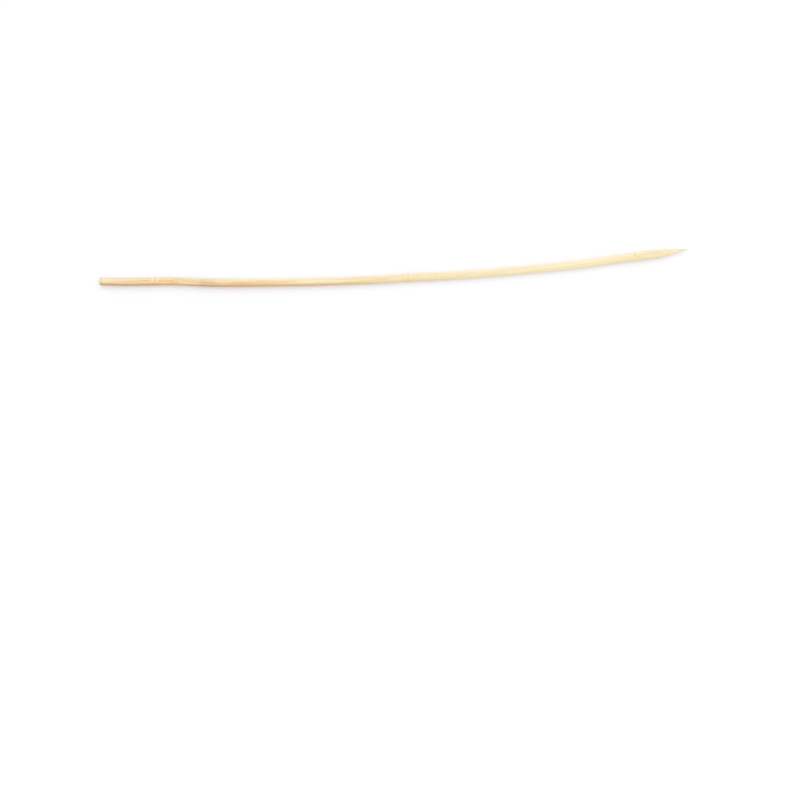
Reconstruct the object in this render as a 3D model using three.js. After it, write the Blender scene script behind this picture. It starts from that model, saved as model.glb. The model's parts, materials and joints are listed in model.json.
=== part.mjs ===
// A bamboo skewer, lying on a table as it comes to rest: one round stick, sawn square at the butt and
// ground to a point at the other end. Like all split bamboo it is a little bowed and crooked, and a
// little swollen at its knots. Millimetres, +Z up, +X from the butt to the point, the bow bulging to -Y.
import * as THREE from "three";

// The stick
const length = 300; // straight from the butt to the tip
const buttDiameter = 4;
const shoulderDiameter = 4.35; // the stick widens evenly to where the point begins
const buttBevel = 0.15; // the sawn edge, eased

// The point
const pointLength = 16.5;
const tipDiameter = 0.3;
const shoulderRounding = 2; // how far the stick's line runs on before it turns into the point's

// The knots, where one internode of the bamboo met the next, each told by its distance from the knot
// before it, or from the butt
const internodes = [27, 130, 115];
const knotSwell = 0.14; // how far a knot stands out on the stick's skin side, which faces +Y
const knotReach = 6; // from a knot's middle to where its swelling ends

// The line that the stick follows, seen from above
const bow = 6.9; // how far the stick lies aside from the straight line between its ends
const bowPlace = 160; // and how far from the butt it does so
const crooks = [
  { place: 36, aside: 0.65 }, // each near a knot, and to the inside of the bow
  { place: 160, aside: 0.2 },
  { place: 266, aside: 0.3 },
];
const crookReach = 26; // from a crook's middle to where the stick runs true again

// How finely the surface is divided
const sides = 32;
const knotStep = 1.2; // between rings on a knot
const longestStep = 6; // and at most between rings elsewhere
const pointSteps = 12;

const shoulder = length - pointLength;
const up = new THREE.Vector3(0, 0, 1);

// 1 in the middle of a smooth bump, falling to 0 at its reach.
function bump(distance, reach) {
  return Math.abs(distance) < reach ? (1 + Math.cos((Math.PI * distance) / reach)) / 2 : 0;
}

// The distances from the butt to the knots. There is none on the point.
function placeKnots() {
  const places = [];
  let place = 0;
  for (const internode of internodes) {
    place += internode;
    if (place + knotReach < shoulder) places.push(place);
  }
  return places;
}
const knots = placeKnots();

function plainRadius(x) {
  return THREE.MathUtils.lerp(buttDiameter, shoulderDiameter, x / shoulder) / 2;
}

function swellAt(x) {
  return knots.reduce((sum, knot) => sum + knotSwell * bump(x - knot, knotReach), 0);
}

// How far the bow alone takes the stick aside: nothing at the ends, and all of it at its place.
function bowAt(share) {
  const place = bowPlace / length;
  const height = place * (1 - place);
  return (bow * share * (1 - share) * (1 + ((2 * place - 1) * (share - place)) / height)) / height;
}

// The stick's middle line. It rises as the stick widens, so that every knot meets the table.
class StickLine extends THREE.Curve {
  getPoint(share, target = new THREE.Vector3()) {
    const x = share * length;
    const crooked = crooks.reduce((sum, { place, aside }) => sum + aside * bump(x - place, crookReach), 0);
    return target.set(x, crooked - bowAt(share), plainRadius(x));
  }
}

// Where the shank has its rings: close together on the knots, and further apart between them.
function shankStations() {
  const ends = [buttBevel, ...knots.flatMap((knot) => [knot - knotReach, knot + knotReach]), shoulder];
  const stations = [];
  for (let i = 1; i < ends.length; i++) {
    const onKnot = i % 2 === 0;
    const span = ends[i] - ends[i - 1];
    const steps = Math.ceil(span / (onKnot ? knotStep : longestStep));
    for (let k = 0; k < steps; k++) stations.push(ends[i - 1] + (span * k) / steps);
  }
  return stations;
}

// Half the stick's outline as radius and distance from the butt, from the butt's middle to the tip's.
function outline() {
  const radius = plainRadius(shoulder);
  const point = new THREE.QuadraticBezierCurve(
    new THREE.Vector2(radius, shoulder),
    new THREE.Vector2(radius, shoulder + shoulderRounding),
    new THREE.Vector2(tipDiameter / 2, length),
  );
  return [
    new THREE.Vector2(0, 0),
    new THREE.Vector2(buttDiameter / 2 - buttBevel, 0),
    ...shankStations().map((x) => new THREE.Vector2(plainRadius(x), x)),
    ...point.getPoints(pointSteps),
    new THREE.Vector2(0, length),
  ];
}

// Lays each ring of a straight lathed stick square across the line, and swells it at the knots: most on
// the skin side, and not at all on the side that faces away from it.
function layAlong(line, stick) {
  const position = stick.getAttribute("position");
  const lathed = new THREE.Vector3();
  for (let i = 0; i < position.count; i++) {
    lathed.fromBufferAttribute(position, i);
    const x = lathed.y;
    const share = THREE.MathUtils.clamp(x / length, 0, 1);
    const forward = line.getTangent(share);
    const aside = new THREE.Vector3().crossVectors(up, forward).normalize();
    const above = new THREE.Vector3().crossVectors(forward, aside);
    const skinward = (1 + lathed.z / plainRadius(x)) / 2;
    const grown = 1 + (swellAt(x) * skinward) / plainRadius(x);
    const laid = line
      .getPoint(share)
      .addScaledVector(aside, lathed.z * grown)
      .addScaledVector(above, lathed.x * grown);
    position.setXYZ(i, laid.x, laid.y, laid.z);
  }
  stick.computeVertexNormals();
  return stick;
}

// The origin is on the table, under the middle of the stick.
function makeSkewer() {
  const geometry = layAlong(new StickLine(), new THREE.LatheGeometry(outline(), sides));
  geometry.computeBoundingBox();
  const { min, max } = geometry.boundingBox;
  geometry.translate(-(min.x + max.x) / 2, -(min.y + max.y) / 2, -min.z);
  const bamboo = new THREE.MeshStandardMaterial({ color: 0xf3e2b8, roughness: 0.6, metalness: 0 });
  const skewer = new THREE.Mesh(geometry, bamboo);
  skewer.name = "skewer";
  return skewer;
}

const model = new THREE.Group();
model.add(makeSkewer());

export default model;
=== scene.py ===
# %% [markdown]
# A bamboo skewer is a thin round stick with a point, and this lesson makes one that looks real. It starts
# from a plain measured model of it, called the CAD stick, which is loaded as a fixed frame. The finished
# stick takes that one's place and keeps to its size, so the box round the CAD stick is kept as well, to be
# printed beside the finished stick's at the end. Blender counts in metres, and a skewer is easier to think
# of in millimetres.

import json
import math

import bmesh
import bpy
import numpy as np
from mathutils import Matrix, Vector, noise


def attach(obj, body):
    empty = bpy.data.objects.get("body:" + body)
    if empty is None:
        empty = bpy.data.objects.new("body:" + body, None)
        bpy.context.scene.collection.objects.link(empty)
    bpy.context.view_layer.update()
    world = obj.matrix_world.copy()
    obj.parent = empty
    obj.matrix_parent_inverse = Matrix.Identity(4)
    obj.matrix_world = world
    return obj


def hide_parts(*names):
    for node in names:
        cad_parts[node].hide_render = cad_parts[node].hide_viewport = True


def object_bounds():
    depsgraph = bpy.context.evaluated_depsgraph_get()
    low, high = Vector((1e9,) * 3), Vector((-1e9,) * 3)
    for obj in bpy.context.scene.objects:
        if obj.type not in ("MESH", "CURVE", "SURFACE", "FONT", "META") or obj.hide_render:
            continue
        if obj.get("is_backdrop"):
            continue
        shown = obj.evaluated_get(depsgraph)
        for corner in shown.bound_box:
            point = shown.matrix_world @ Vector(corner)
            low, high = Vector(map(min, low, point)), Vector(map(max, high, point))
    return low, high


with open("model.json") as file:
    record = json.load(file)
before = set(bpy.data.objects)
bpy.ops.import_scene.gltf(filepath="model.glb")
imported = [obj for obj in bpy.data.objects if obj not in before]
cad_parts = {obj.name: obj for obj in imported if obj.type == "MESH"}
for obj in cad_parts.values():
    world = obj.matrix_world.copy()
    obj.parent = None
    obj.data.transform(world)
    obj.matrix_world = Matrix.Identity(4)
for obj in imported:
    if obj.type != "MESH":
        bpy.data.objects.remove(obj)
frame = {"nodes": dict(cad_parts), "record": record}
cad_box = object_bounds()
MM = 0.001


def print_box(name, corners):
    """Prints the lowest and the highest corner of a box, in mm."""
    print(name, "in mm:", [[round(float(value) / MM, 2) for value in corner] for corner in corners])


print_box("CAD box", cad_box)

# %% [markdown]
# A bamboo skewer is split from a cane, pushed through a round die and ground to a point. It keeps the
# cane's fibres, which run its whole length, its knots, and the bow that it takes as it dries. The CAD
# stick already has the right bow, thickness and point, so nothing here is guessed again: a plane cuts a
# merged copy of it at many places, and each cut gives the stick's middle and its radius there.

# %% measure the CAD stick
SAME_POINT = 0.001  # mm, closer than which two vertices are one
WHOLE_CUT = 0.5  # mm from the butt, clear of its eased edge
CUT_STEP = 1.5  # mm between cuts
TIP_CLEAR = 0.2  # mm, how far short of the tip the last cut is, and later the last ring of the side
TIP_SLANT = 0.03  # mm along X, within which all the corners of the tip's small flat end lie


def merged_copy(node):
    """A bmesh of the node with its split vertices joined. The node itself is left alone."""
    solid = bmesh.new()
    solid.from_mesh(node.data)
    bmesh.ops.remove_doubles(solid, verts=solid.verts, dist=SAME_POINT * MM)
    return solid


def cut_across(solid, x):
    """The middle, and half the width and height, of the solid where a plane across X cuts it."""
    cut = solid.copy()
    elements = cut.verts[:] + cut.edges[:] + cut.faces[:]
    found = bmesh.ops.bisect_plane(cut, geom=elements, plane_co=(x, 0, 0), plane_no=(1, 0, 0))
    ring = np.array([item.co for item in found["geom_cut"] if isinstance(item, bmesh.types.BMVert)])
    cut.free()
    low, high = ring.min(axis=0), ring.max(axis=0)
    return (low + high) / 2, (high - low)[1:] / 2


solid = merged_copy(frame["nodes"]["skewer"])
mounts = {mount["name"]: mount for mount in frame["record"]["mounts"]}
butt = np.array(mounts["butt_face"]["pos_m"])
far = max(vert.co.x for vert in solid.verts)
tip = np.mean([vert.co for vert in solid.verts if vert.co.x > far - TIP_SLANT * MM], axis=0)
LENGTH = (tip[0] - butt[0]) / MM
last_cut = LENGTH - TIP_CLEAR
cut_places = np.append(np.arange(WHOLE_CUT, last_cut, CUT_STEP), last_cut)
cuts = [cut_across(solid, butt[0] + place * MM) for place in cut_places]
solid.free()
print("cut", len(cuts), "times over", round(LENGTH, 2), "mm")

# %% [markdown]
# The middles of the cuts make the line that the stick follows. The CAD line has a corner at each of its
# rings, too slight to see in the solid but not in a highlight, so a short running mean takes them out.
# The way forward along the line, at each of its points, is what the stick is bent by later.

# %% the stick's line
LINE_STEP = 0.5  # mm between the points of the line
SMOOTHED_OVER = 7.0  # mm
SPARE = 0.01  # mm past the end, so that rounding never costs the last point


def smooth(places, values):
    """Even places along the stick, and the running mean of the values there. The ends stay put."""
    even = np.arange(0, LENGTH + SPARE, LINE_STEP)
    reach = int(SMOOTHED_OVER / LINE_STEP) // 2
    window = np.full(2 * reach + 1, 1 / (2 * reach + 1))
    padded = np.pad(np.interp(even, places, values), reach, mode="reflect", reflect_type="odd")
    return even, np.convolve(padded, window, mode="valid")


middles = np.array([butt, *(middle for middle, _ in cuts), tip])
line_places = np.array([0, *cut_places, LENGTH])
even_places, line_y = smooth(line_places, middles[:, 1])
line_z = np.interp(even_places, line_places, middles[:, 2])
line = np.column_stack([butt[0] + even_places * MM, line_y, line_z])
forward = np.gradient(line, axis=0)
forward /= np.linalg.norm(forward, axis=1)[:, None]
print("the line wanders", round(float(np.ptp(line_y)) / MM, 2), "mm to the side")

# %% [markdown]
# Half the cuts' widths and heights make the stick's radius. A plane across X cuts a stick that slopes a
# little as an ellipse, which is wider than the stick by one over the cosine of the slope, so the widths
# are put right by that cosine.

# %% the stick's radius
slope_cosine = np.interp(cut_places, even_places, forward[:, 0])
half_sizes = np.array([half for _, half in cuts])
radii = (half_sizes[:, 0] * slope_cosine + half_sizes[:, 1]) / 2 / MM


def radius_at(place):
    """The stick's radius in mm, that many mm from the butt."""
    return float(np.interp(place, cut_places, radii))


print("radius in mm at the butt, the middle and 10 mm from the tip:",
      [round(radius_at(place), 3) for place in (0, LENGTH / 2, LENGTH - 10)])

# %% [markdown]
# The knots are where the radius stands out from the even taper between them. They matter twice: the
# surface is rougher there, and the grain and the colour change. They are found from the measured radius,
# so they stay right if the CAD stick changes.

# %% find the knots
POINT_LENGTH = 16.5  # mm
SHOULDER = LENGTH - POINT_LENGTH  # where the point begins, in mm from the butt
TAPER_FROM, TAPER_TO = 2.0, SHOULDER - 3.0  # mm, well clear of the butt's edge and of the point
KNOT_REACH = 6.0  # mm, from a knot's middle to where its swelling ends
LEAST_SWELLING = 0.03  # mm


def find_knots():
    """The places where the radius is a peak above the straight taper of the shank."""
    on_shank = cut_places < TAPER_TO
    places = cut_places[on_shank]
    taper = np.interp(places, [0, SHOULDER], [radius_at(TAPER_FROM), radius_at(TAPER_TO)])
    above = radii[on_shank] - taper
    peaks = []
    for i in range(2, len(above) - 2):
        if above[i] > LEAST_SWELLING and above[i] == above[i - 2:i + 3].max():
            peaks.append(i)
    return places[peaks]


knots = find_knots()
print("knots in mm from the butt:", knots.round(1))

# %% [markdown]
# The fine stick is made straight first, because a straight stick is easy to turn, to carve and to give
# its grain. It is turned from a profile, and the profile has a ring wherever the surface needs one: far
# apart along the shank, and close together on the sawn end, the knots and the point.

# %% place the rings
SHANK_STEP, BUTT_STEP, KNOT_STEP, POINT_STEP = 1.5, 0.25, 0.3, 0.4  # mm between rings
BUTT_REACH = 4.0  # mm, how far from the butt its close rings go
LEAST_STEP = 0.08  # mm, closer than which two rings become one
EDGE = 0.16  # mm, the rounding of the sawn edge
STRIP = 60.0  # mm, the length of one strip of the texture map, made further down


def place_rings():
    """Where the shank and the point have rings, in mm from the butt."""
    stretches = [(EDGE, SHOULDER, SHANK_STEP), (EDGE, BUTT_REACH, BUTT_STEP), (STRIP, LENGTH, STRIP)]
    stretches += [(knot - KNOT_REACH, knot + KNOT_REACH, KNOT_STEP) for knot in knots]
    stretches += [(SHOULDER, LENGTH - TIP_CLEAR, POINT_STEP)]
    places = sorted({place for stretch in stretches for place in np.arange(*stretch)})
    apart = [place for place, after in zip(places, places[1:]) if after - place > LEAST_STEP]
    return apart + [LENGTH - TIP_CLEAR]


ring_places = place_rings()
print("rings on the shank and the point:", len(ring_places))

# %% [markdown]
# The profile runs from the middle of the sawn end, round its eased edge, along the side and to the tip. It
# is spun once round the X axis, like work on a lathe, and its two ends close on the axis. A full spin
# leaves a seam of doubled vertices, which are merged before the faces are turned to point outwards.

# %% spin a straight stick
SIDES = 96
FLAT_RINGS = 18  # across the sawn end, for its saw marks
EDGE_TURNS = np.radians([22.5, 45, 67.5])
TIP_RING, TIP_RING_RADIUS = 0.06, 0.11  # mm, from the tip to the ring that rounds it, and its radius


def profile():
    """The outline from the middle of the sawn end to the tip, as place and radius in mm."""
    flat_radius = radius_at(0) - EDGE
    flat = [(0, radius) for radius in np.linspace(0, flat_radius, FLAT_RINGS)]
    edge = [(EDGE * (1 - math.cos(turn)), flat_radius + EDGE * math.sin(turn)) for turn in EDGE_TURNS]
    side = [(place, radius_at(place)) for place in ring_places]
    end = [(LENGTH - TIP_RING, TIP_RING_RADIUS), (LENGTH, 0)]
    return flat + edge + side + end


stick = bmesh.new()
outline = [stick.verts.new((place, radius, 0)) for place, radius in profile()]
outline_edges = [stick.edges.new(pair) for pair in zip(outline, outline[1:])]
bmesh.ops.spin(stick, geom=outline + outline_edges, cent=(0, 0, 0), axis=(1, 0, 0),
               angle=math.tau, steps=SIDES, use_merge=True)
bmesh.ops.remove_doubles(stick, verts=stick.verts, dist=SAME_POINT)
bmesh.ops.recalc_face_normals(stick, faces=stick.faces)
print("spun a profile of", len(outline), "points into", len(stick.faces), "faces")

# %% [markdown]
# Before it is carved and bent, every vertex notes where it is in the straight stick. The finish reads
# that note in place of the bent position, so the grain follows the bow as real fibres do, and shows
# as dots on the sawn end and as long ellipses on the ground point. Two more notes say how far a vertex
# is from the nearest knot and whether it is on the sawn end.

# %% note the grown-in place
grown = stick.verts.layers.float_vector.new("grown")
knot_at = stick.verts.layers.float.new("knot_at")
sawn = stick.verts.layers.float.new("sawn")
for vert in stick.verts:
    vert[grown] = vert.co
    vert[knot_at] = min((vert.co.x - knot for knot in knots), key=abs)
    vert[sawn] = 1.0 if vert.co.x < EDGE / 2 else 0.0
print("on the sawn end:", sum(vert[sawn] > 0 for vert in stick.verts), "vertices")

# %% [markdown]
# A die leaves bamboo almost round, but not smooth: soft tissue between the fibres tears out and leaves
# long shallow grooves, and the twisted fibres of a knot tear in short pits. They could be left to bump in
# the finish, but light that skims along a real stick shows them, so each vertex is moved. Noise at its
# grown-in place says how far, and always inwards, so the carved stick never grows past the CAD box.

# %% carve the grooves and the knots
GROOVE = 0.05  # mm deep
PIT = 0.09  # mm deep
FULL_DEPTH = 1.5  # mm, the radius below which the point's grooves grow shallow
UNCARVED = 0.2  # mm, the radius of the very tip, which is left alone


def solid_noise(vert, along, across, seed=0.0):
    """Smooth noise from -1 to 1, about this many waves to the mm along the stick and across it."""
    x, y, z = vert[grown]
    return noise.noise(Vector((x * along + seed, y * across, z * across)))


def near_knot(vert):
    """1 at a knot's middle, falling to 0 at its reach."""
    share = min(abs(vert[knot_at]) / KNOT_REACH, 1)
    return (1 - share * share) ** 2


def groove_depth(vert):
    """The depth in mm of long grooves, with smooth wood between them, of fine ones, and of pits."""
    long_groove = max(0.0, solid_noise(vert, along=0.015, across=2.4) - 0.1) * 2.2
    fine_groove = abs(solid_noise(vert, along=0.05, across=5.0, seed=40))
    pit = max(0.0, solid_noise(vert, along=0.9, across=3.2, seed=80) - 0.05)
    return GROOVE * (0.7 * min(long_groove, 1) + 0.5 * fine_groove) + PIT * pit * near_knot(vert)


deepest = 0.0
for vert in stick.verts:
    out = Vector((0, vert.co.y, vert.co.z))
    if vert[sawn] > 0 or out.length <= UNCARVED:
        continue
    depth = groove_depth(vert) * min(1.0, out.length / FULL_DEPTH)
    deepest = max(deepest, depth)
    vert.co -= out.normalized() * depth
print("deepest groove in mm:", round(deepest, 3))

# %% [markdown]
# A saw leaves fine ridges side by side across the butt, and tears the softest spots between them. Its
# vertices move only along the stick, and inwards again. A sine wave makes the ridges, and noise that
# doesn't change along the stick makes the torn spots.

# %% mark the sawn end
SAW_MARK = 0.05  # mm deep
SAW_WAVE = 9.0  # radians to the mm, which is a ridge every 0.7 mm
ACROSS_RIDGES = (0.8, 0.6)  # the way across them, as Y and Z


def saw_depth(vert):
    """The depth in mm of the saw's ridges and of the spots that it tore."""
    across = vert.co.y * ACROSS_RIDGES[0] + vert.co.z * ACROSS_RIDGES[1]
    ridges = 0.5 + 0.5 * math.sin(SAW_WAVE * across)
    torn = max(0.0, solid_noise(vert, along=0, across=2.2, seed=7))
    return SAW_MARK * (0.5 * ridges + 1.6 * torn)


deepest = 0.0
for vert in stick.verts:
    if vert[sawn] > 0:
        depth = saw_depth(vert)
        deepest = max(deepest, depth)
        vert.co.x += depth
print("deepest saw mark in mm:", round(deepest, 3))

# %% [markdown]
# A texture map lays the surface out flat, so that the finish can be kept as a picture. The stick is some
# 23 times as long as the way round it, and an even map of it would be a thread, so it is folded up like a
# ruler. Five strips of 60 mm lie one above the other in the square, each one turn round the stick, and the
# sawn end has a small place of its own above them.

# %% fold the texture map
uv_map = stick.loops.layers.uv.new("OFBake")
STRIP_COUNT = math.ceil(LENGTH / STRIP - 0.001)  # a hair more than a whole strip needs no further one
ALL_STRIPS = 0.92  # of the square's height
STRIP_HEIGHT = ALL_STRIPS / STRIP_COUNT
END_MARGIN = 0.004  # of the square, at each end of a strip
SIDE_MARGIN = 0.02  # of a strip's height, on each side of it
SAWN_PLACE = Vector((0.04, 0.96))
SAWN_SCALE = 0.035 / 2.0  # of the square, for each mm
ON_AXIS = 1e-4  # mm


def turn_at(point):
    """How far round the stick a point is, from 0 to 1."""
    return math.atan2(point.z, point.y) / math.tau % 1.0


def place_on_strip(vert, strip, middle_turn):
    """Where a vertex is in the square, on the strip and on the same side of the seam as its face."""
    around = middle_turn if vert[grown].yz.length < ON_AXIS else turn_at(vert.co)
    around += round(middle_turn - around)
    u = END_MARGIN + (1 - 2 * END_MARGIN) * (vert[grown].x - strip * STRIP) / STRIP
    return u, STRIP_HEIGHT * (strip + SIDE_MARGIN + (1 - 2 * SIDE_MARGIN) * around)


for face in stick.faces:
    middle = face.calc_center_median()
    strip = int(min(middle.x / STRIP, STRIP_COUNT - 1))
    on_sawn_end = all(vert[sawn] > 0 for vert in face.verts)
    for loop in face.loops:
        if on_sawn_end:
            loop[uv_map].uv = SAWN_PLACE + loop.vert[grown].yz * SAWN_SCALE
        else:
            loop[uv_map].uv = place_on_strip(loop.vert, strip, turn_at(middle))
print("strips:", STRIP_COUNT)

# %% [markdown]
# Now the stick is bent. Each ring goes to its place on the measured line and stands square across it, so
# the sawn end and the point come out where the CAD stick has them. A curve modifier could bend it too, but
# this way the mesh is finished, in its place, and its object stays at the origin.

# %% bend it
def on_line(values, place):
    """The line's value that many mm from the butt."""
    return Vector([float(np.interp(place, even_places, values[:, axis])) for axis in range(3)])


def new_object(name, shape):
    """The bmesh as an object of the scene."""
    mesh = bpy.data.meshes.new(name)
    shape.to_mesh(mesh)
    shape.free()
    made = bpy.data.objects.new(name, mesh)
    bpy.context.collection.objects.link(made)
    return made


for vert in stick.verts:
    place, to_side, to_top = vert.co
    ahead = on_line(forward, place)
    side = Vector((0, 0, 1)).cross(ahead).normalized()
    top = ahead.cross(side)
    vert.co = on_line(line, place) + (side * to_side + top * to_top) * MM
for face in stick.faces:
    face.smooth = True

bamboo_stick = new_object("bamboo_stick", stick)
points = np.array([vert.co for vert in bamboo_stick.data.vertices])
print_box("bent stick", (points.min(axis=0), points.max(axis=0)))

# %% [markdown]
# Finishes are written as sums here: `pale * 0.5 + streak` reads better than a page of nodes. Shade wraps
# one output socket, and every operator on it adds the node that does the sum: a Math node for numbers,
# and a Vector Math node for places and colours, because a Math node would turn a colour grey.

# %% a small language for finishes
class Shade:
    """One value in a shader, as the output socket of a node."""

    def __init__(self, tree, socket):
        self.tree, self.socket = tree, socket

    def node(self, kind, values=None, output=0, **settings):
        """A new node: its settings, what its sockets are given, and which output is wanted."""
        made = self.tree.nodes.new(kind)
        for name, value in settings.items():
            setattr(made, name, value)
        for name, value in (values or {}).items():
            if isinstance(value, Shade):
                self.tree.links.new(value.socket, made.inputs[name])
            else:
                made.inputs[name].default_value = value
        return Shade(self.tree, made.outputs[output])

    def sum(self, operation, *values):
        """The result of a sum. If a value of it has three parts, then a bare number counts for all."""
        if not any(has_parts(value) for value in values):
            return self.node("ShaderNodeMath", dict(enumerate(values)), operation=operation)
        parts = [value if isinstance(value, (Shade, tuple)) else (value, value, value) for value in values]
        return self.node("ShaderNodeVectorMath", dict(enumerate(parts)), operation=operation)

    def __add__(self, other):
        return self.sum("ADD", self, other)

    def __radd__(self, other):
        return self.sum("ADD", other, self)

    def __sub__(self, other):
        return self.sum("SUBTRACT", self, other)

    def __rsub__(self, other):
        return self.sum("SUBTRACT", other, self)

    def __mul__(self, other):
        return self.sum("MULTIPLY", self, other)

    def __rmul__(self, other):
        return self.sum("MULTIPLY", other, self)

    def __abs__(self):
        return self.sum("ABSOLUTE", self)

    def part(self, letter):
        """The X, Y or Z of a value with three parts."""
        return self.node("ShaderNodeSeparateXYZ", {0: self}, output=letter)

    def rise(self, low, high):
        """0 below low, 1 above high, and smooth between them."""
        values = {"Value": self, "From Min": low, "From Max": high}
        return self.node("ShaderNodeMapRange", values, interpolation_type="SMOOTHSTEP")


def has_parts(value):
    """Whether a value is a vector or a colour and not one number."""
    if isinstance(value, Shade):
        return value.socket.type in ("VECTOR", "RGBA")
    return isinstance(value, tuple)


print("besides sums, a Shade has:", [name for name in vars(Shade) if not name.startswith("_")])

# %% [markdown]
# Split bamboo is pale straw, creamier in one fibre and tanner in the next, and a cut across the fibres is
# darker than their sides. Brown also marks a stain, the butt's last millimetre and the fibre bundles.
# Honey and brown on the side away from the lamp are painted shade, lemon there is painted light, and
# near-white on the side towards the lamp is a painted sheen. A colour picker shows a colour as six hex
# digits, which are made for screens, and a shader needs the same colour in amounts of light.

# %% the colours of bamboo
def color(code):
    """A colour from its six hex digits, as Blender wants it: linear, with alpha."""
    screen = [int(code[i:i + 2], 16) / 255 for i in (0, 2, 4)]
    linear = [part / 12.92 if part <= 0.04045 else ((part + 0.055) / 1.055) ** 2.4 for part in screen]
    return (*linear, 1.0)


STRAW, CREAM, TAN = color("F0DFA8"), color("F7EDCB"), color("DCA868")
GOLD, BROWN, BURNT = color("E6C06A"), color("B47A40"), color("9C6532")
PALE, LEMON, PITH = color("FAF5EA"), color("FFF0B4"), color("E3C896")
AMBER, HONEY = color("CFA052"), color("E2A455")
print("straw, linear:", [round(part, 3) for part in STRAW])

# %% [markdown]
# The finish starts from the notes that the vertices carry. They say how far along the stick a spot is, how
# far towards the side that faces the lamp, how far past the nearest knot, and whether it is on the sawn
# end.

# %% where a spot is
def new_finish(name):
    """A material, its shader node, and a Shade to start from."""
    material = bpy.data.materials.new(name)
    material.use_nodes = True
    shader = material.node_tree.nodes["Principled BSDF"]
    return material, shader, Shade(material.node_tree, None)


bamboo, bamboo_shader, start = new_finish("split bamboo")
spot = start.node("ShaderNodeAttribute", attribute_name="grown", output="Vector")
past_knot = start.node("ShaderNodeAttribute", attribute_name="knot_at", output="Fac")
on_sawn = start.node("ShaderNodeAttribute", attribute_name="sawn", output="Fac")
along = spot.part("X")
to_lit_side = spot.part("Y")
at_knot = 1 - abs(past_knot).rise(0.8, KNOT_REACH)
on_point = along.rise(SHOULDER - 0.3, SHOULDER + 0.8)


def print_nodes(made):
    """Prints how many nodes the bamboo finish has once something is made."""
    print("nodes, with", made + ":", len(bamboo.node_tree.nodes))


print_nodes("the notes")

# %% [markdown]
# Bamboo's fibres run almost straight between the knots, and swirl at a knot, where some of them turn off
# into the wall that closed the cane. So the place that the patterns read is shaken: a little everywhere,
# by slow noise, and strongly at the knots, by quicker noise. A Noise node's value is one pattern from 0
# to 1, and its colour is three such patterns at once, which shake the place in three directions.

# %% shake the grain
def speckle(where, detail=2.0, roughness=0.5, output="Fac"):
    """Noise from 0 to 1 at this place."""
    values = {"Vector": where, "Scale": 1.0, "Detail": detail, "Roughness": roughness}
    return where.node("ShaderNodeTexNoise", values, output=output)


drift = speckle(spot * (0.02, 0.3, 0.3), output="Color")
swirl = speckle(spot * (0.35, 0.6, 0.6), output="Color")
grain = spot + (drift - 0.5) * (0.0, 1.2, 1.2) + (swirl - 0.5) * at_knot * (3.0, 1.1, 1.1)
print_nodes("shaken grain")

# %% [markdown]
# The fibres stand in bundles, which are lines on the side of the stick and dots on its sawn end. The cells
# of a Voronoi pattern give both at once when they are stretched a hundredfold and more along the stick.
# Noise that is stretched in the same way gives streaks, fibres and hairs, each finer than the one before,
# and the slowest noise gives the tanner bands and patches.

# %% the patterns of the grain
def grain_noise(waves_along, waves_across, detail=2.0, roughness=0.5):
    """Noise that runs with the grain, about this many waves to the mm along it and across it."""
    return speckle(grain * (waves_along, waves_across, waves_across), detail, roughness)


cells = {"Vector": grain * (0.012, 3.0, 3.0), "Scale": 1.0}
from_bundle = start.node("ShaderNodeTexVoronoi", cells, output="Distance")
bundle = 1 - from_bundle.rise(0.12, 0.34)
streaks = grain_noise(0.02, 2.6, detail=4.0, roughness=0.6)
fibres = grain_noise(0.03, 8.0, detail=3.0, roughness=0.65)
hairs = grain_noise(0.15, 14.0)
patches = grain_noise(0.012, 0.45, detail=1.0)
bands = grain_noise(0.05, 1.2)
print_nodes("the patterns")

# %% [markdown]
# This stick is warmer near its butt and paler towards its point. The change is slow, and each streak
# makes it at a place of its own, so no edge shows. The tanner patches and bands are strong in the butt's
# half and faint in the point's. Every colour is laid over the ones before it by a Mix node. That node
# keeps sockets for numbers, vectors and colours side by side, so those for colours are told by their
# places in the row.

# %% the tone along the stick
MIX_SHARE, MIX_FIRST, MIX_SECOND, MIX_RESULT = 0, 6, 7, 2  # a Mix node's sockets for colours
BUTT_HALF = (60, 220)  # mm from the butt, between which the warm half gives way to the pale one
STREAK_SHIFT = 150  # mm, from where the earliest streak could change to where the latest could


def mixed(share, first, second):
    """A colour that goes from the first to the second as the share goes from 0 to 1."""
    values = {MIX_SHARE: share, MIX_FIRST: first, MIX_SECOND: second}
    return share.node("ShaderNodeMix", values, output=MIX_RESULT, data_type="RGBA")


butt_half = 1 - (along + (streaks - 0.5) * STREAK_SHIFT).rise(*BUTT_HALF)
fine_color = mixed(butt_half, GOLD, TAN)
bundle_color = mixed(butt_half, AMBER, BROWN)
tone = mixed(streaks.rise(0.35, 0.7) * (0.3 + butt_half * 0.7), CREAM, STRAW)
tone = mixed(patches.rise(0.42, 0.68) * (0.05 + butt_half * 0.35), tone, TAN)
tone = mixed(bands.rise(0.48, 0.66) * (0.08 + butt_half * 0.42), tone, TAN)
print_nodes("the tone along the stick")

# %% [markdown]
# Colour that follows the stick's two sides, towards the lamp and away from it, is painted light and shade.
# The side away from the lamp is painted honey brown near the butt as a warm painted shade, deepest along
# its very edge, and is painted a pale yellow light towards the point. The side towards the lamp is painted
# nearly white as a painted sheen. A faint brownish stain crosses the stick about 50 mm from the butt.

# %% painted shade, light and sheen on the stick's two sides
NEAR_BUTT = (30, 110)  # mm from the butt, between which the extra painted shade along the edge fades
STAIN_STARTS, STAIN_ENDS = (49.5, 52), (54, 64)  # mm from the butt

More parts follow.
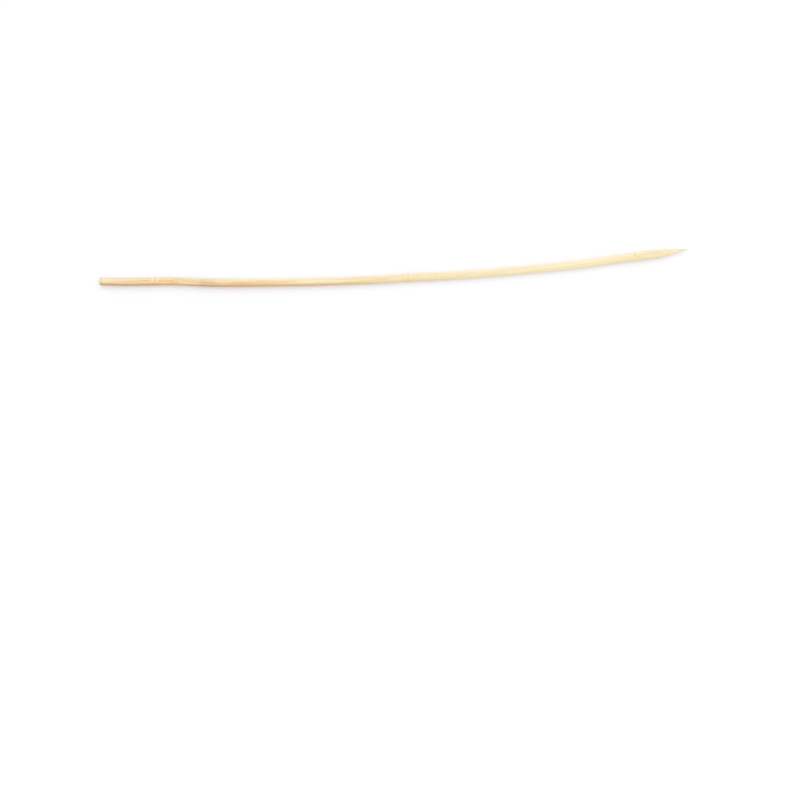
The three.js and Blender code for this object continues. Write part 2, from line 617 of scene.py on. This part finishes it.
to_shaded_side = 0 - to_lit_side
shaded_flank = to_shaded_side.rise(0.0, 2.0)
shaded_edge = to_shaded_side.rise(1.0, 2.1)
by_butt = 1 - along.rise(*NEAR_BUTT)
stain = along.rise(*STAIN_STARTS) * (1 - along.rise(*STAIN_ENDS)) * streaks.rise(0.2, 0.5)
# painted warm shade on the side away from the lamp, strongest in the butt's half
tone = mixed(shaded_flank * (0.06 + butt_half * 0.68), tone, HONEY)
# deeper painted shade along the very edge of the side away from the lamp, most near the butt
tone = mixed(shaded_edge * (0.04 + butt_half * 0.3 + by_butt * 0.26), tone, BROWN)
tone = mixed(stain * 0.28, tone, BROWN)
# painted light: pale yellow on the side away from the lamp, in the point's half
tone = mixed(shaded_flank * (1 - butt_half) * 0.55, tone, LEMON)
# painted sheen: near-white on the side towards the lamp
tone = mixed(to_lit_side.rise(0.7, 2.0) * 0.6, tone, PALE)
print_nodes("its two sides")

# %% [markdown]
# Now the fibres are drawn in: fine ones, darker and paler than the wood between them, then the bundles,
# and last the hairs. On the sawn end the same patterns are cut across. There the soft pith shows between
# the bundles, which stand out more, and the saw has scratched it.

# %% the fibres and the sawn end
scratches = speckle(spot * (0.0, 1.2, 1.6) + grain * (0.0, 9.0, -7.0), detail=3.0)
tone = mixed(fibres.rise(0.5, 0.62) * (1 - on_sawn) * 0.3, tone, fine_color)
tone = mixed((1 - fibres.rise(0.36, 0.47)) * (1 - on_sawn) * 0.35, tone, CREAM)
tone = mixed(on_sawn * 0.88, tone, PITH)
tone = mixed(bundle * (0.35 + on_point * 0.1 + on_sawn * 0.45), tone, bundle_color)
tone = mixed(hairs.rise(0.55, 0.75) * (0.25 + on_sawn * 0.3), tone, fine_color)
tone = mixed(scratches.rise(0.5, 0.65) * on_sawn * 0.35, tone, BURNT)
print_nodes("fibres")

# %% [markdown]
# Just past a knot, on the side towards the point, the fibres are still unsettled, and the wood is streaked
# with short gold and cream dashes. They are gone two and a half centimetres on.

# %% the dashes past a knot
DASHES_START, DASHES_END = (1.0, 5.0), (14.0, 24.0)  # mm past the knot

dashes = grain_noise(0.16, 2.6)
dashed = past_knot.rise(*DASHES_START) * (1 - past_knot.rise(*DASHES_END)) * (0.2 + butt_half * 0.8)
tone = mixed(dashes.rise(0.5, 0.6) * dashed * 0.65, tone, GOLD)
tone = mixed((1 - dashes.rise(0.37, 0.45)) * dashed * 0.65, tone, CREAM)
print_nodes("dashes")

# %% [markdown]
# A knot is where a leaf was joined to the cane. It leaves a pale scar and, past it, a pale ridge, with a
# thin golden line between them and golden flecks all about. The lines go round one side only, the one
# towards the lamp, and none of them is straight, so the swirl of the grain shakes each in a way of its
# own.

# %% the knots
def line_round(past, letter, waviness, full, gone):
    """A wavy line round the stick, so many mm past each knot.

    It has its full strength up to one distance from its middle, and is gone at the other.
    """
    wave = (swirl.part(letter) - 0.5) * waviness
    return 1 - abs(past_knot - past + wave).rise(full, gone)


fleck = grain_noise(0.8, 1.6).rise(0.52, 0.66) * at_knot
scar = line_round(past=-0.8, letter="X", waviness=2.0, full=0.15, gone=0.6)
gold_line = line_round(past=0.6, letter="Y", waviness=2.0, full=0.1, gone=0.4)
ridge = line_round(past=2.0, letter="Z", waviness=3.0, full=0.2, gone=0.7)
tone = mixed(fleck * 0.45, tone, GOLD)
tone = mixed(scar * to_lit_side.rise(-0.8, 0.6) * 0.75, tone, CREAM)
tone = mixed(gold_line * to_lit_side.rise(0.0, 1.2) * 0.25, tone, GOLD)
tone = mixed(ridge * to_lit_side.rise(-0.8, 0.6) * 0.5, tone, CREAM)
print_nodes("knots")

# %% [markdown]
# The ends are a little darker than the rest. The saw's heat browns the last millimetre of the side here
# and there, and the end itself, and the grindstone leaves the last of the point golden.

# %% the ends
BROWNED = (0.2, 1.4)  # mm from the butt, between which the saw's brown fades
GOLDEN_TIP = 6  # mm

browned = (1 - along.rise(*BROWNED)) * (1 - on_sawn)
tone = mixed(browned * bands.rise(0.35, 0.6) * 0.3, tone, BROWN)
tone = mixed(along.rise(LENGTH - GOLDEN_TIP, LENGTH) * 0.25, tone, GOLD)
tone = mixed(on_sawn * 0.08, tone, BURNT)
print_nodes("both ends")

# %% [markdown]
# Bare bamboo has a soft gloss, duller where it was ground or sawn and at the knots. Relief that is finer
# than the mesh is left to a Bump node: the same streaks, fibres and hairs stand up by a few hundredths of
# a millimetre. The weak reflection is the same all over, so it is a number on the shader's own socket.

# %% gloss and fine relief
RELIEF = 0.04  # mm
REFLECTION = 0.25

rough = 0.5 + streaks * 0.15 + on_point * 0.12 + on_sawn * 0.2 + at_knot * 0.08
height = streaks * 0.5 + fibres * 0.6 + hairs * 0.35 - bundle * 0.3 + fleck * 0.4
relief = {"Height": height, "Strength": 0.8, "Distance": RELIEF * MM}
bump = start.node("ShaderNodeBump", relief)

bamboo_shader.inputs["Specular IOR Level"].default_value = REFLECTION
for socket, value in (("Base Color", tone), ("Roughness", rough), ("Normal", bump)):
    bamboo.node_tree.links.new(value.socket, bamboo_shader.inputs[socket])
bamboo_stick.data.materials.append(bamboo)
print_nodes("gloss and relief")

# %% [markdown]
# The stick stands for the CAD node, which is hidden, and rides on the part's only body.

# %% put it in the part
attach(bamboo_stick, "root")
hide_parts("skewer")
print("faces on the stick:", len(bamboo_stick.data.polygons))

# %% [markdown]
# The stick lies on plain white. The floor is a disc of matt paint, a little under white, and a little cool
# to make up for the warm lamp. It reaches so far that its edge is lost in the white sky.

# %% the floor
FLOOR_RADIUS = 4.0  # m
FLOOR_CORNERS = 96
FLOOR_WHITE = (0.945, 0.955, 0.99, 1.0)

floor_disc = bmesh.new()
bmesh.ops.create_circle(floor_disc, cap_ends=True, segments=FLOOR_CORNERS, radius=FLOOR_RADIUS)
floor = new_object("floor", floor_disc)
white, floor_shader, _ = new_finish("matt white floor")
floor_shader.inputs["Base Color"].default_value = FLOOR_WHITE
floor_shader.inputs["Roughness"].default_value = 1.0
floor_shader.inputs["Specular IOR Level"].default_value = 0.0
floor.data.materials.append(white)
floor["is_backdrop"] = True
print("floor:", 2 * FLOOR_RADIUS, "m across")

# %% [markdown]
# The light comes from two places. A wide soft lamp, slightly warm, is nearly overhead and a little to the
# far side, and it gives the stick its narrow soft shadow. An even, slightly cool sky fills the rest. Rays
# that come straight from the camera, or by way of a reflection or a clear thing, see the sky pure white.

# %% the light
LAMP_POWER = 0.65
LAMP_WIDTH = 60  # degrees of the sky
LAMP_WARMTH = (1.0, 0.99, 0.975)
TO_LAMP = Vector((0.1, 0.4, 1.0))  # the way from the stick to the lamp
SKY = (0.88, 0.885, 0.92, 1.0)
PURE_WHITE = (1.0, 1.0, 1.0, 1.0)

lamp_light = bpy.data.lights.new("soft key", "SUN")
lamp_light.energy = LAMP_POWER
lamp_light.angle = math.radians(LAMP_WIDTH)
lamp_light.color = LAMP_WARMTH
lamp = bpy.data.objects.new("soft key", lamp_light)
lamp.rotation_euler = TO_LAMP.to_track_quat("Z", "Y").to_euler()
bpy.context.collection.objects.link(lamp)

world = bpy.data.worlds.new("even sky")
world.use_nodes = True
bpy.context.scene.world = world
sky = Shade(world.node_tree, None)
seen = sky.node("ShaderNodeLightPath", output="Is Camera Ray")
for ray in ("Is Glossy Ray", "Is Transmission Ray"):
    seen = seen.sum("MAXIMUM", seen, sky.node("ShaderNodeLightPath", output=ray))
background = world.node_tree.nodes["Background"]
world.node_tree.links.new(mixed(seen, SKY, PURE_WHITE).socket, background.inputs["Color"])

# %% [markdown]
# The photograph looks straight down. In it the stick is 589 pixels long, climbs 3.1 degrees to the right,
# and its middle is 135 pixels above the picture's middle. The lens says how much floor the 800 pixels
# take in from a metre away, so the camera's place follows from these.

# %% the camera
PIXELS = 800
BUTT_PIXEL, TIP_PIXEL = Vector((100.1, 281.2)), Vector((688.0, 249.3))
HEIGHT = 1.0  # m, the camera above the stick
SENSOR = 36.0  # mm

across_picture = TIP_PIXEL - BUTT_PIXEL
mm_per_pixel = LENGTH / across_picture.length
roll = math.atan2(across_picture.y, across_picture.x)  # pixel rows run down, so a climb is negative
aside = (BUTT_PIXEL + TIP_PIXEL) / 2 - Vector((PIXELS / 2, PIXELS / 2))  # of the stick's middle

lens = bpy.data.cameras.new("photograph")
lens.sensor_width = SENSOR
lens.lens = SENSOR * HEIGHT / (PIXELS * mm_per_pixel * MM)
camera = bpy.data.objects.new("photograph", lens)
stick_middle = Vector((butt + tip) / 2)
offset = Matrix.Rotation(roll, 3, "Z") @ Vector((-aside.x, aside.y, 0)) * mm_per_pixel * MM
camera.location = stick_middle + offset + Vector((0, 0, HEIGHT))
camera.rotation_euler = (0, 0, roll)
bpy.context.collection.objects.link(camera)
bpy.context.scene.camera = camera
bpy.context.scene.view_settings.view_transform = "Standard"
print("lens", round(lens.lens, 1), "mm, roll", round(math.degrees(roll), 2), "degrees")

# %% [markdown]
# Last, the box round the finished stick is printed beside the CAD stick's. Everything was cut inwards, so
# the second box should lie just inside the first.

# %% sizes, and the end
visual_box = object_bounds()
print_box("visual box", visual_box)
